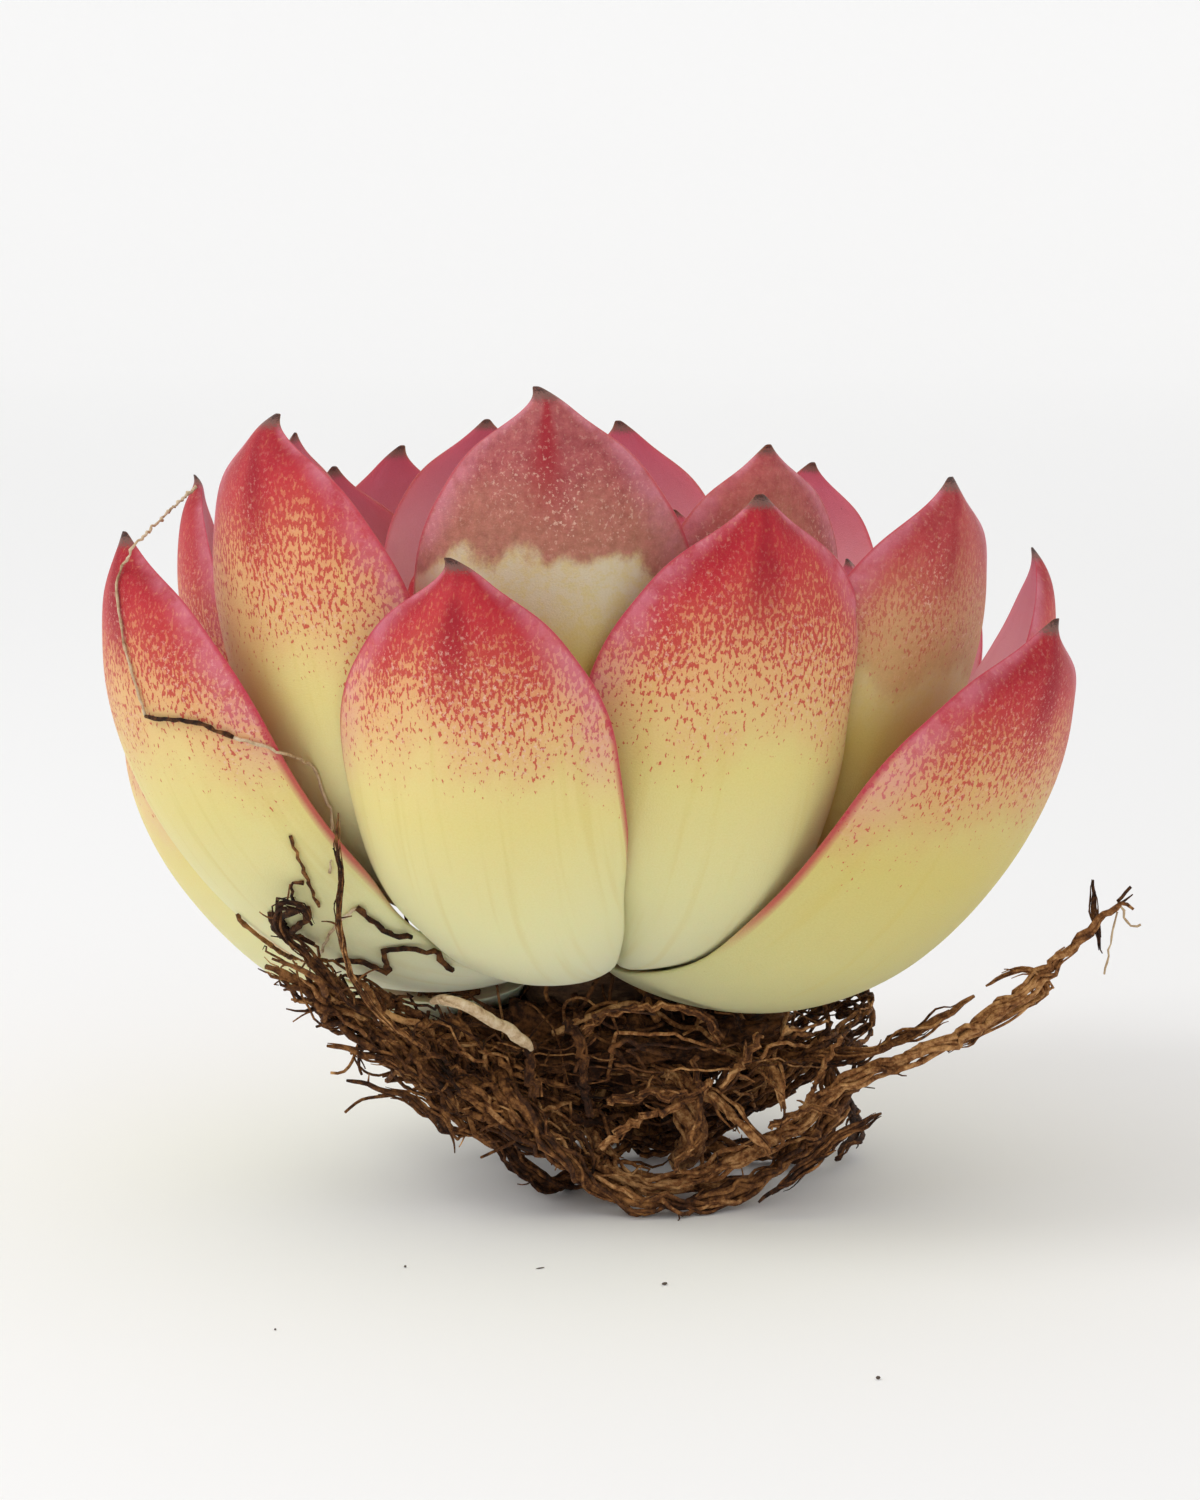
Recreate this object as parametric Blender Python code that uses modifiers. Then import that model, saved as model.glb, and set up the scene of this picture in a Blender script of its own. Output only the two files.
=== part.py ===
"""A bare-root echeveria: a rosette of fleshy pointed leaves round a short stem,
standing on its own dried, wiry roots. Metres, +Z up, the ground at z = 0."""

import math

import bmesh
import bpy
from mathutils import Matrix, Vector
from mathutils.bvhtree import BVHTree

# Driving dimensions.
MM = 0.001
AXIS = Vector((-2.1, -0.1, 0.0)) * MM      # the rosette's axis, so that the whole box is centred
LEAVES = 34
FIRST_LEAF = -159.5                       # azimuth of the oldest leaf, degrees; -90 is the front
GOLDEN_ANGLE = 137.508                    # turn from each leaf to the next younger one
CLEARANCE = 0.5 * MM                      # kept between pieces that lean on each other
WRAP_RADIUS = 5.0                         # mm, tightest curve that a leaf is wrapped round
OUTER_BULGE = 0.72                        # share of a leaf's thickness on its outer face
INNER_BULGE = 0.12
MARGIN_POWER = 0.85                       # how blunt the leaf's section is at its margins
STEM_PROFILE = [(0.0, 10.8), (2.4, 11.3), (4.2, 12.8), (5.2, 15.5), (5.7, 19.0),
                (5.2, 23.0), (3.9, 30.0), (1.9, 34.0), (0.0, 35.6)]

# What changes from the oldest leaf to the youngest: (leaf number, value) in mm and degrees.
TIP_RADIUS = [(0, 40), (6, 36), (14, 30), (20, 22), (26, 14), (33, 3)]
TIP_HEIGHT = [(0, 54), (8, 62), (14, 62), (20, 54), (26, 51), (33, 46)]
BASE_RADIUS = [(0, 7.0), (20, 5.0), (33, 1.2)]
BASE_HEIGHT = [(0, 20.5), (8, 24), (20, 31), (33, 38)]
WIDTH = [(0, 22.5), (15, 22), (19, 18), (25, 12), (33, 4.5)]
THICKNESS = [(0, 6.8), (14, 5.8), (20, 4.2), (33, 2.0)]
BASE_SLOPE = [(0, -12), (6, -2), (12, 12), (20, 35), (33, 70)]
TIP_SLOPE = [(0, 88), (14, 96), (33, 95)]

# Outline and section of one leaf, along its length from the base (0) to the tip (1).
HALF_WIDTH = [(0, .47), (.08, .61), (.2, .81), (.33, .94), (.46, .99), (.6, 1.0), (.7, .985),
              (.77, .93), (.84, .80), (.89, .63), (.925, .45), (.95, .29), (.97, .16),
              (.985, .085), (1.0, .03)]
DEPTH = [(0, .5), (.1, .62), (.25, .86), (.42, 1.0), (.6, .95), (.75, .76), (.87, .5),
         (.94, .32), (.98, .17), (1.0, .05)]

# Leaves that stand a little off the spiral: azimuth, tip radius, tip height, sideways lean.
PLACES = {
    0: (-150.6, 41.0, 56.1, 0.0), 1: (-36, 41.9, 49.5, 2.6), 2: (117, 39.0, 58.5, 0.0),
    3: (-106.5, 36.4, 55.6, 1.0), 4: (37, 38.0, 52.0, 0.0), 5: (165, 36.8, 44.0, 0.0),
    6: (-69.8, 32.4, 59.8, 1.8), 7: (85, 34.0, 60.8, 0.0), 8: (-133.5, 33.0, 65.3, -2.6),
    9: (2, 36.5, 52.6, 0.0), 10: (133, 33.0, 57.5, 0.0), 11: (-96.5, 27.0, 67.6, 0.0),
    12: (50, 29.5, 58.0, 0.0), 13: (-176, 31.5, 58.9, -1.0), 14: (-41, 33.2, 60.1, 5.0),
    15: (110, 27.0, 61.5, 0.0), 16: (-120, 17.5, 52.0, 0.0), 17: (20, 23.0, 51.0, 0.0),
    18: (158, 26.8, 61.5, 0.0), 19: (-61, 25.2, 62.9, 1.5), 23: (122, 18.0, 54.0, 0.0),
}
SHAPES = {
    0: {"width": 23.8, "roll": -0.05, "tip_slope": 82},
    1: {"width": 25.4, "base_height": 19.5, "base_slope": -14, "tip_slope": 74, "roll": 0.11},
    3: {"width": 22.4, "roll": 0.02}, 4: {"width": 21.5},
    5: {"base_height": 17.3, "base_slope": -25, "tip_slope": 96},
    6: {"width": 23.8, "base_height": 22.0, "base_slope": -6}, 8: {"width": 24.6},
    9: {"width": 20.0}, 11: {"width": 22.8}, 13: {"width": 20.5},
    14: {"width": 23.5, "base_height": 26.0, "base_radius": 5.8, "tip_slope": 86},
    16: {"width": 17.5}, 17: {"width": 17.0}, 21: {"tip_radius": 15.0, "tip_height": 49.0},
}

# Roots: radius and the points that each one passes through, in mm from the rosette's axis.
ROOTS = {
    "root_trunk_left": (0.9, [(-28, -23, 23.5), (-22.4, -20.5, 20.5), (-18, -18, 16.6),
                              (-13.6, -15.5, 13.0), (-8.3, -13.6, 9.3), (-3.0, -12.6, 5.4),
                              (0.8, -11, 2.6), (5, -9, 1.2), (10, -7.6, 1.0), (15, -5, 1.1)]),
    "root_long": (0.85, [(2, -3, 10.2), (0, -6.5, 6.5), (1.6, -10, 3.3), (5.4, -11.6, 2.0),
                         (10.5, -12.4, 3.9), (16.1, -13, 7.2), (20.5, -14, 10.9), (25.6, -14, 13.0),
                         (29, -14, 14.6), (32.9, -14, 17.2), (35.6, -14, 19.4), (38.4, -14, 22.3),
                         (40.6, -14, 24.6), (42.2, -14, 25.7), (43.2, -14, 25.0)]),
    "root_front_hoop": (0.75, [(-4.5, -5, 11.0), (-7.6, -11, 11.9), (-5.6, -14.4, 9.6),
                               (-2.0, -14.6, 5.0), (1.5, -14.0, 2.0), (6, -13.8, 0.95),
                               (12, -11.6, 1.6), (17, -8.6, 4.4), (20.6, -5, 7.0),
                               (22.6, 0, 9.0), (22, 5, 10.8)]),
    "root_back_hoop": (0.8, [(3, 4, 11.2), (9, 9, 11.2), (14.5, 13, 8.2), (13.5, 13.5, 3),
                             (8, 12, 0.95), (1, 11.5, 0.95), (-4.5, 9.5, 0.95), (-9, 7, 3.6),
                             (-12, 4, 7.6), (-9.6, 1, 10.4)]),
    "root_left_hoop": (0.7, [(-5, -1.6, 10.6), (-12, -1.6, 11.0), (-16.4, -3.4, 11.0),
                             (-13.4, -7.4, 9.0), (-8.2, -9.2, 5.6), (-3.9, -7.6, 1.6),
                             (-0.8, -4.6, 0.95),
                             (2.6, -2.4, 2.6), (3.6, -1.6, 5.4)]),
    "root_right_hoop": (0.8, [(5.4, -0.6, 10.6), (12, 0, 11.2), (19, 2, 9), (20.5, 1.4, 4),
                              (17, 3, 1.0), (11, 4.8, 0.95), (5, 6.5, 1.3), (-1, 6, 3.4),
                              (-4.6, 4.4, 7)]),
    "root_front_slant": (0.7, [(0.6, -6.0, 10.9), (4.8, -10.2, 11.4), (9.2, -12.8, 10.2),
                               (12.6, -15.2, 7.4), (14.4, -15.6, 5.6)]),
    "root_thick": (1.1, [(3.4, -4.4, 9.6), (6.0, -7.6, 10.6), (7.8, -9.2, 8.4), (8.4, -8.8, 5.4),
                         (8.0, -5.6, 3.2), (7.4, -2.4, 1.4)]),
    "root_stub": (0.7, [(9.0, -5.5, 11.9), (13, -10.5, 12.4), (15.2, -13.8, 11.6),
                        (15.4, -14.4, 9.2)]),
    "root_right_branch": (0.6, [(9, -2.6, 12.0), (16, -8.6, 12.2), (20.6, -11.4, 12.6),
                                (24.7, -11, 13.8), (28.4, -10, 15.6), (31.1, -9, 17.1)]),
    "root_lower_branch": (0.45, [(13.5, -15.0, 1.6), (17.3, -14.6, 4.4), (20.7, -14.0, 7.2),
                                 (23.4, -12.6, 8.2)]),
    "root_curl_upper": (0.5, [(-20.6, -20.4, 15.6), (-16.4, -18.6, 14.2), (-12.4, -14.2, 11.0),
                              (-8.4, -9.4, 10.2), (-4.6, -6, 9.6)]),
    "root_curl_lower": (0.5, [(-19.2, -18.6, 12.4), (-14.8, -17.4, 11.0), (-12.6, -17.2, 9.4),
                              (-10.4, -14.2, 7.0), (-7.4, -10.4, 7.4), (-3, -6, 8.6)]),
    "root_knot": (0.48, [(-16.4, -19.4, 17.0), (-19.6, -21.0, 20.2), (-22.2, -21.6, 23.2),
                         (-24.2, -22.0, 25.2), (-24.0, -23.0, 27.2), (-22.4, -23.4, 27.4),
                         (-21.6, -23.0, 25.8)]),
    "root_riser": (0.4, [(-12.6, -18.0, 14.4), (-15.8, -20.6, 17.6), (-18.2, -21.8, 20.8),
                         (-19.2, -23.0, 24.0), (-19.4, -24.4, 27.2), (-19.0, -25.8, 30.2),
                         (-19.3, -26.6, 32.8), (-19.2, -26.2, 35)]),
    "root_pale": (0.55, [(-12.4, -20.0, 19.0), (-10.6, -22.8, 19.8), (-8.2, -22.8, 18.4),
                         (-5.6, -21.2, 16.6), (-4.6, -19.8, 15.0)]),
    "root_back_right": (0.7, [(2, 6.4, 11.4), (5, 13, 11.6), (11, 18, 10.6), (17, 17.6, 8),
                              (21.6, 12, 4.6), (22.6, 6, 2.4), (20.6, 0.6, 1.2)]),
    "root_back_left": (0.7, [(-2.6, 5.4, 11.0), (-6, 12, 11.6), (-12, 15.4, 10.4),
                             (-15.0, 11.0, 9.0), (-12.4, 5.0, 6.2), (-7.4, 2.6, 2.8),
                             (-2.8, 1.4, 1.0)]),
    "root_tap": (1.0, [(0.4, 0.4, 9.2), (1, 1.4, 7), (4.4, 0.2, 4.8), (8.6, 1.2, 2.6),
                       (13, 0.6, 1.2)]),
    "root_side_loop": (0.4, [(28.8, -11.6, 13.2), (33, -11, 15.6), (36.8, -11.4, 18.4),
                             (35.0, -10.6, 19.6), (32.0, -9.8, 18.2)]),
    "root_end_twig": (0.35, [(40.2, -12.4, 27.4), (40.4, -12.2, 24.8), (40.9, -12.3, 21.6)]),
}

MATERIALS = {
    "leaf_outer": ((0.80, 0.62, 0.34, 1.0), 0.52),
    "leaf_inner": ((0.52, 0.36, 0.30, 1.0), 0.55),
    "stem": ((0.55, 0.50, 0.30, 1.0), 0.7),
    "root": ((0.13, 0.06, 0.03, 1.0), 0.9),
    "root_pale": ((0.62, 0.47, 0.32, 1.0), 0.8),
}


def ramp(points, x):
    """The value at x on a line through the given (x, value) points."""
    if x <= points[0][0]:
        return points[0][1]
    for (x0, y0), (x1, y1) in zip(points, points[1:]):
        if x <= x1:
            return y0 + (y1 - y0) * (x - x0) / (x1 - x0)
    return points[-1][1]


def leaf_shape(number):
    """Everything that sets one leaf's form; leaf 0 is the oldest and outermost."""
    shape = {
        "azimuth": FIRST_LEAF + GOLDEN_ANGLE * number,
        "tip_radius": ramp(TIP_RADIUS, number),
        "tip_height": ramp(TIP_HEIGHT, number),
        "base_radius": ramp(BASE_RADIUS, number),
        "base_height": ramp(BASE_HEIGHT, number),
        "width": ramp(WIDTH, number),
        "thickness": ramp(THICKNESS, number),
        "base_slope": ramp(BASE_SLOPE, number),
        "tip_slope": ramp(TIP_SLOPE, number),
        "roll": 0.02,
        "lean": 0.0,
    }
    if number in PLACES:
        names = ("azimuth", "tip_radius", "tip_height", "lean")
        shape.update(zip(names, PLACES[number]))
    shape.update(SHAPES.get(number, {}))
    return shape


def leaf_spine(shape, steps=80):
    """The leaf's middle line in its own upright plane: (share of length, radius, height, slope)."""
    start = Vector((shape["base_radius"], shape["base_height"]))
    end = Vector((shape["tip_radius"], shape["tip_height"]))
    chord = (end - start).length
    low = math.radians(shape["base_slope"])
    high = math.radians(shape["tip_slope"])
    leave = start + 0.35 * chord * Vector((math.cos(low), math.sin(low)))
    arrive = end - 0.40 * chord * Vector((math.cos(high), math.sin(high)))
    rows = []
    length = 0.0
    last = start
    for i in range(steps + 1):
        u = i / steps
        v = 1.0 - u
        point = v**3 * start + 3 * v * v * u * leave + 3 * v * u * u * arrive + u**3 * end
        way = v * v * (leave - start) + 2 * v * u * (arrive - leave) + u * u * (end - arrive)
        length += (point - last).length
        last = point
        rows.append((length, point.x, point.y, math.atan2(way.y, way.x)))
    return [(s / length, radius, height, slope) for s, radius, height, slope in rows]


def on_leaf(shape, spine, t, across, out):
    """A point of the leaf: t along it, and mm across it and through its thickness."""
    radius = ramp([(row[0], row[1]) for row in spine], t)
    height = ramp([(row[0], row[2]) for row in spine], t)
    slope = ramp([(row[0], row[3]) for row in spine], t)
    out -= shape["roll"] * across
    angle = across / max(radius, WRAP_RADIUS)
    reach = radius - out * math.sin(slope)
    point = Vector((reach * math.cos(angle), reach * math.sin(angle) + shape["lean"] * t * t,
                    height + out * math.cos(slope)))
    return Matrix.Rotation(math.radians(shape["azimuth"]), 3, "Z") @ point * MM


def leaf_body(shape, around, along):
    """A sphere drawn out along the leaf's spine, and where each vertex's core lies."""
    body = bmesh.new()
    bmesh.ops.create_uvsphere(body, u_segments=around, v_segments=along + 1, radius=1.0)
    body.verts.index_update()
    spine = leaf_spine(shape)
    cores = {}
    for vertex in body.verts:
        ring = round(math.acos(max(-1.0, min(1.0, -vertex.co.z))) / math.pi * (along + 1))
        pole = ring in (0, along + 1)
        u = min(max(ring - 1, 0) / along, 1.0)
        t = 1.0 - (1.0 - u) ** 1.6
        half_width = 0.5 * shape["width"] * ramp(HALF_WIDTH, t)
        depth = shape["thickness"] * ramp(DEPTH, t)
        flat = Vector((vertex.co.x, vertex.co.y))
        across = 0.0 if pole else flat.normalized().x
        side = 0.0 if pole else flat.normalized().y
        swell = (1.0 - min(1.0, across * across)) ** MARGIN_POWER
        out = depth * swell * (INNER_BULGE if side > 0 else -OUTER_BULGE)
        if pole:
            out = -0.1 * shape["thickness"] if ring == 0 else 0.0
        cores[vertex.index] = on_leaf(shape, spine, t, 0.5 * half_width * across, -0.15 * depth)
        vertex.co = on_leaf(shape, spine, t, half_width * across, out)
    if body.calc_volume(signed=True) < 0:
        bmesh.ops.reverse_faces(body, faces=body.faces)
    return body, cores


def boxes_meet(one, other):
    """Whether two bodies' bounding boxes come within the clearance."""
    for axis in range(3):
        a = [v.co[axis] for v in one.verts]
        b = [v.co[axis] for v in other.verts]
        if max(a) + CLEARANCE < min(b) or max(b) + CLEARANCE < min(a):
            return False
    return True


def is_inside(tree, point):
    """Whether a point lies in a closed body: a line from it leaves by an odd count of walls."""
    way = Vector((0.31, 0.17, 0.93)).normalized()
    walls = 0
    hit = tree.ray_cast(point, way)[0]
    while hit is not None:
        walls += 1
        hit = tree.ray_cast(hit + way * 0.001 * MM, way)[0]
    return walls % 2 == 1


def way_out(tree, point, room):
    """The shortest move that takes a point this far clear of a body, or None."""
    hit, _, _, distance = tree.find_nearest(point, 5.0 * MM)
    if hit is None or distance < 0.0001 * MM:
        return None
    if is_inside(tree, point):
        return (hit - point) * (1.0 + room / distance)
    if distance < room:
        return (point - hit) * (room / distance - 1.0)
    return None


def press_apart(leaves):
    """Flatten each leaf where a neighbour leans on it, until no two of them touch."""
    pairs = [(i, j) for i in range(len(leaves)) for j in range(len(leaves))
             if i != j and boxes_meet(leaves[i][0], leaves[j][0])]
    for _ in range(10):
        trees = [BVHTree.FromBMesh(body) for body, _ in leaves]
        for i, j in pairs:
            body, cores = leaves[i]
            for vertex in body.verts:
                move = way_out(trees[j], vertex.co, CLEARANCE)
                inward = cores[vertex.index] - vertex.co
                if move is not None and inward.length > 0:
                    step = min(0.7 * move.length, 0.5 * inward.length)
                    vertex.co += inward.normalized() * step


def smooth_route(points, radius):
    """Points every 2.2 radii along a smooth curve through the given ones."""
    ends = [2 * points[0] - points[1]] + points + [2 * points[-1] - points[-2]]
    route = []
    for a, b, c, d in zip(ends, ends[1:], ends[2:], ends[3:]):
        count = max(1, round((c - b).length / (3.4 * radius)))
        for i in range(count):
            t = i / count
            route.append(0.5 * (2 * b + (c - a) * t + (2 * a - 5 * b + 4 * c - d) * t * t
                                + (3 * b - a - 3 * c + d) * t**3))
    route.append(points[-1].copy())
    return route


def clear_route(route, radius, solids, laid):
    """Move a root's points off the leaves, the stem, the roots already laid and the ground."""
    for _ in range(30):
        for point in route:
            for tree in solids:
                move = way_out(tree, point, radius + CLEARANCE)
                if move is not None:
                    point += move.normalized() * min(move.length, 0.4 * MM)
            for other, other_radius in laid:
                for a, b in zip(other, other[1:]):
                    along = max(0.0, min(1.0, (point - a).dot(b - a) / (b - a).length_squared))
                    away = point - a.lerp(b, along)
                    short = radius + other_radius + CLEARANCE - away.length
                    if short > 0:
                        point += away.normalized() * min(short, 0.4 * MM)
            point.z = max(point.z, 0.9 * radius)
        for i in range(1, len(route) - 1):
            middle = (route[i - 1] + route[i + 1]) / 2
            route[i] = route[i].lerp(middle, 0.06)


def material(name):
    """The named material, made once."""
    if name in bpy.data.materials:
        return bpy.data.materials[name]
    made = bpy.data.materials.new(name)
    made.use_nodes = True
    shader = made.node_tree.nodes["Principled BSDF"]
    colour, roughness = MATERIALS[name]
    shader.inputs["Base Color"].default_value = colour
    shader.inputs["Roughness"].default_value = roughness
    shader.inputs["Metallic"].default_value = 0.0
    return made


def add_object(name, data, slot, collection, parent):
    """Put a mesh or curve in the scene as one named piece."""
    piece = bpy.data.objects.new(name, data)
    data.materials.append(material(slot))
    collection.objects.link(piece)
    piece.parent = parent
    return piece


def build_stem(collection, parent):
    """The short stem that the leaves grow from, as a turned profile."""
    mesh = bpy.data.meshes.new("stem")
    profile = [(radius * MM, 0.0, height * MM) for radius, height in reversed(STEM_PROFILE)]
    edges = [(i, i + 1) for i in range(len(profile) - 1)]
    mesh.from_pydata(profile, edges, [])
    stem = add_object("stem", mesh, "stem", collection, parent)
    turn = stem.modifiers.new("turn", "SCREW")
    turn.steps = turn.render_steps = 16
    turn.use_merge_vertices = True
    turn.merge_threshold = 0.00005
    turn.use_smooth_shade = True
    return stem


def build_root(name, route, radius, collection, parent):
    """One root: a round tube along its route, closed at both ends."""
    curve = bpy.data.curves.new(name, "CURVE")
    curve.dimensions = "3D"
    curve.bevel_depth = radius
    curve.bevel_resolution = 1
    curve.use_fill_caps = True
    spline = curve.splines.new("POLY")
    spline.points.add(len(route) - 1)
    for spot, point in zip(spline.points, route):
        spot.co = (*point, 1.0)
    slot = "root_pale" if name in ("root_pale", "root_thick") else "root"
    return add_object(name, curve, slot, collection, parent)


def build():
    for old in list(bpy.data.objects):
        bpy.data.objects.remove(old, do_unlink=True)
    collection = bpy.data.collections.new("bare_root_succulent")
    bpy.context.scene.collection.children.link(collection)
    rosette = bpy.data.objects.new("rosette_axis", None)
    rosette.location = AXIS
    collection.objects.link(rosette)

    leaves = []
    for number in range(LEAVES):
        around, along = (12, 12) if number < 20 else (8, 8)
        leaves.append(leaf_body(leaf_shape(number), around, along))
    press_apart(leaves)
    for number, (body, _) in enumerate(leaves):
        mesh = bpy.data.meshes.new(f"leaf_{number + 1:02d}")
        body.to_mesh(mesh)
        mesh.shade_smooth()
        slot = "leaf_outer" if number < 20 else "leaf_inner"
        add_object(mesh.name, mesh, slot, collection, rosette)

    stem = build_stem(collection, rosette)
    bpy.context.view_layer.update()
    graph = bpy.context.evaluated_depsgraph_get()
    solids = [BVHTree.FromBMesh(body) for body, _ in leaves]
    solids.append(BVHTree.FromObject(stem, graph))
    laid = []
    for name, (radius, points) in ROOTS.items():
        route = smooth_route([Vector(point) * MM for point in points], radius * MM)
        clear_route(route, radius * MM, solids, laid)
        laid.append((route, radius * MM))
        build_root(name, route, radius * MM, collection, rosette)


build()
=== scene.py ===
"""A bare-root echeveria rosette standing on its own dried roots, on a white table."""

import math
import random

import bpy
import numpy as np
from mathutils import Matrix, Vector, noise
from mathutils.bvhtree import BVHTree


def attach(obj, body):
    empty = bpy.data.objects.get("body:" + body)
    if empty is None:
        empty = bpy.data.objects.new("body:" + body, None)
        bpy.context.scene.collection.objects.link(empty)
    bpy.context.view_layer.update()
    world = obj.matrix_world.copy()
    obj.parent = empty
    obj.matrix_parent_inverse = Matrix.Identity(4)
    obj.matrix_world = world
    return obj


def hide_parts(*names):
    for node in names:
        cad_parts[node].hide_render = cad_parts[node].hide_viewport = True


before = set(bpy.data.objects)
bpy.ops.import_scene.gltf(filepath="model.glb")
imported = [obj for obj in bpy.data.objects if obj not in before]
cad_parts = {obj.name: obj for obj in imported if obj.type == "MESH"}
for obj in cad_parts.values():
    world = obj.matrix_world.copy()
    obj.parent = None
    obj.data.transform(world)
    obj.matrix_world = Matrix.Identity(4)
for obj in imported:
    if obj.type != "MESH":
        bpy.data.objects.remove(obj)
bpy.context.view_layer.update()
bpy.ops.object.select_all(action="DESELECT")

MM = 0.001
FULL_TURN = 6.28

# ---------------------------------------------------------------------------
# White table and light: a seamless sheet of white card that curves up behind,
# and one window-like light from the upper left, under a pale sky. The card also
# glows more and more towards the back, a painted light.
# ---------------------------------------------------------------------------
bpy.ops.mesh.primitive_plane_add(size=2.4, location=(0.0, 0.0, 0.0))
table = bpy.context.object
table.name = "white_table"
bpy.ops.object.mode_set(mode="EDIT")
bpy.ops.mesh.select_all(action="DESELECT")
bpy.ops.object.mode_set(mode="OBJECT")
for edge in table.data.edges:
    ends = [table.data.vertices[i].co.y for i in edge.vertices]
    edge.select = min(ends) > 1.0
bpy.ops.object.mode_set(mode="EDIT")
bpy.ops.mesh.select_mode(type="EDGE")
BEND_STEPS = 8
BEND_STEP = 0.12
for step in range(BEND_STEPS):
    lift = math.radians(90.0 * (step + 1) / BEND_STEPS)
    bpy.ops.mesh.extrude_region_move(
        TRANSFORM_OT_translate={"value": (0.0, BEND_STEP * math.cos(lift), BEND_STEP * math.sin(lift))}
    )
bpy.ops.mesh.extrude_region_move(TRANSFORM_OT_translate={"value": (0.0, 0.0, 1.2)})
bpy.ops.object.mode_set(mode="OBJECT")
bpy.ops.object.shade_smooth()

card = bpy.data.materials.new("white_card")
card.use_nodes = True
card_shader = card.node_tree.nodes["Principled BSDF"]
card_shader.inputs["Base Color"].default_value = (0.90, 0.898, 0.895, 1.0)
card_shader.inputs["Roughness"].default_value = 0.75
card_shader.inputs["Specular IOR Level"].default_value = 0.2
# Painted light: the card glows, more the further back it is, so the far card and its upturn look brightly
# lit.
far_glow = card.node_tree.nodes.new("ShaderNodeMapRange")
far_glow.inputs["From Min"].default_value = 0.1
far_glow.inputs["From Max"].default_value = 1.6
far_glow.inputs["To Max"].default_value = 0.14
depth_way = card.node_tree.nodes.new("ShaderNodeSeparateXYZ")
card_place = card.node_tree.nodes.new("ShaderNodeTexCoord")
card.node_tree.links.new(card_place.outputs["Object"], depth_way.inputs[0])
card.node_tree.links.new(depth_way.outputs["Y"], far_glow.inputs["Value"])
card.node_tree.links.new(far_glow.outputs["Result"], card_shader.inputs["Emission Strength"])
card_shader.inputs["Emission Color"].default_value = (1.0, 1.0, 1.0, 1.0)
table.data.materials.append(card)

sky = bpy.data.worlds.new("pale_sky")
sky.use_nodes = True
sky.node_tree.nodes["Background"].inputs["Color"].default_value = (1.0, 1.0, 1.0, 1.0)
sky.node_tree.nodes["Background"].inputs["Strength"].default_value = 0.875
bpy.context.scene.world = sky
bpy.context.scene.view_settings.view_transform = "Standard"

window_place = Vector((-0.42, -0.16, 0.46))
window_aim = Vector((0.0, 0.0, 0.03))
bpy.ops.object.light_add(type="AREA", location=window_place)
window_light = bpy.context.object
window_light.name = "window_light"
window_light.data.size = 0.22
window_light.data.energy = 1.0
window_light.rotation_euler = (window_aim - window_place).to_track_quat("-Z", "Y").to_euler()

eye_line = math.radians(8.5)
eye_reach = 0.344
bpy.ops.object.camera_add(
    location=(-0.0013, -0.0001 - eye_reach * math.cos(eye_line), 0.036 + eye_reach * math.sin(eye_line)),
    rotation=(math.radians(90.0) - eye_line, 0.0, 0.0),
)
camera = bpy.context.object
camera.data.lens = 100.0
camera.data.sensor_width = 36.0
camera.data.clip_start = 0.01
camera.data.clip_end = 20.0
bpy.context.scene.camera = camera

# ---------------------------------------------------------------------------
# Crumbs: a few specks of dry soil that fell from the roots on to the table.
# ---------------------------------------------------------------------------
soil = bpy.data.materials.new("dry_soil")
soil.use_nodes = True
soil.node_tree.nodes["Principled BSDF"].inputs["Base Color"].default_value = (0.09, 0.065, 0.05, 1.0)
soil.node_tree.nodes["Principled BSDF"].inputs["Roughness"].default_value = 0.9
for x, y, size, length in ((-16.3, -28.9, 0.11, 1.0), (-5.9, -29.2, 0.06, 7.0), (3.6, -33.8, 0.13, 2.0),
                           (18.2, -57.9, 0.15, 1.2), (-25.0, -45.8, 0.09, 1.0)):
    bpy.ops.mesh.primitive_ico_sphere_add(subdivisions=2, radius=size * MM,
                                          location=(x * MM, y * MM, size * MM))
    crumb = bpy.context.object
    crumb.name = "soil_crumb"
    crumb.scale = (length, 1.0, 0.8)
    crumb.rotation_euler = (0.0, 0.0, 0.6 - 0.3 * size)
    bpy.ops.object.transform_apply(location=True, rotation=True, scale=True)
    crumb.data.materials.append(soil)

# ---------------------------------------------------------------------------
# Leaf blank: one plump blade, drawn out of a sphere along its length, with a
# flat inner face, a full outer face, an ogee point with a keel under it and a
# short dried tip. Every leaf is a copy of it.
# ---------------------------------------------------------------------------
ROWS = 30
AROUND = 24
TIP_CROWDING = 1.55
OUTLINE = [(0, .55), (.06, .68), (.15, .82), (.25, .915), (.36, .97), (.48, 1.0), (.6, 1.0),
           (.7, .985), (.74, .965), (.8, .88), (.842, .77), (.89, .62), (.915, .505),
           (.938, .35), (.955, .235), (.968, .165), (.98, .105), (.99, .065), (1.0, .025)]
PLUMPNESS = [(0, .5), (.1, .62), (.25, .86), (.42, 1.0), (.6, .96), (.75, .78), (.87, .53),
             (.94, .36), (.965, .24), (.98, .15), (.99, .09), (1.0, .03)]


def smooth_through(points, x):
    """A curve through (x, value) points that never overshoots them."""
    xs, ys = np.array(points, float).T
    steps = np.diff(ys) / np.diff(xs)
    middle = np.where(steps[1:] * steps[:-1] > 0,
                      2 * steps[1:] * steps[:-1] / (steps[1:] + steps[:-1] + 1e-12), 0.0)
    slopes = np.concatenate([[steps[0]], middle, [steps[-1]]])
    i = np.clip(np.searchsorted(xs, x, side="right") - 1, 0, len(xs) - 2)
    gap = xs[i + 1] - xs[i]
    u = np.clip((x - xs[i]) / gap, 0.0, 1.0)
    return (ys[i] * (1 + 2 * u) * (1 - u) ** 2 + gap * slopes[i] * u * (1 - u) ** 2
            + ys[i + 1] * u * u * (3 - 2 * u) + gap * slopes[i + 1] * u * u * (u - 1))


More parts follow.
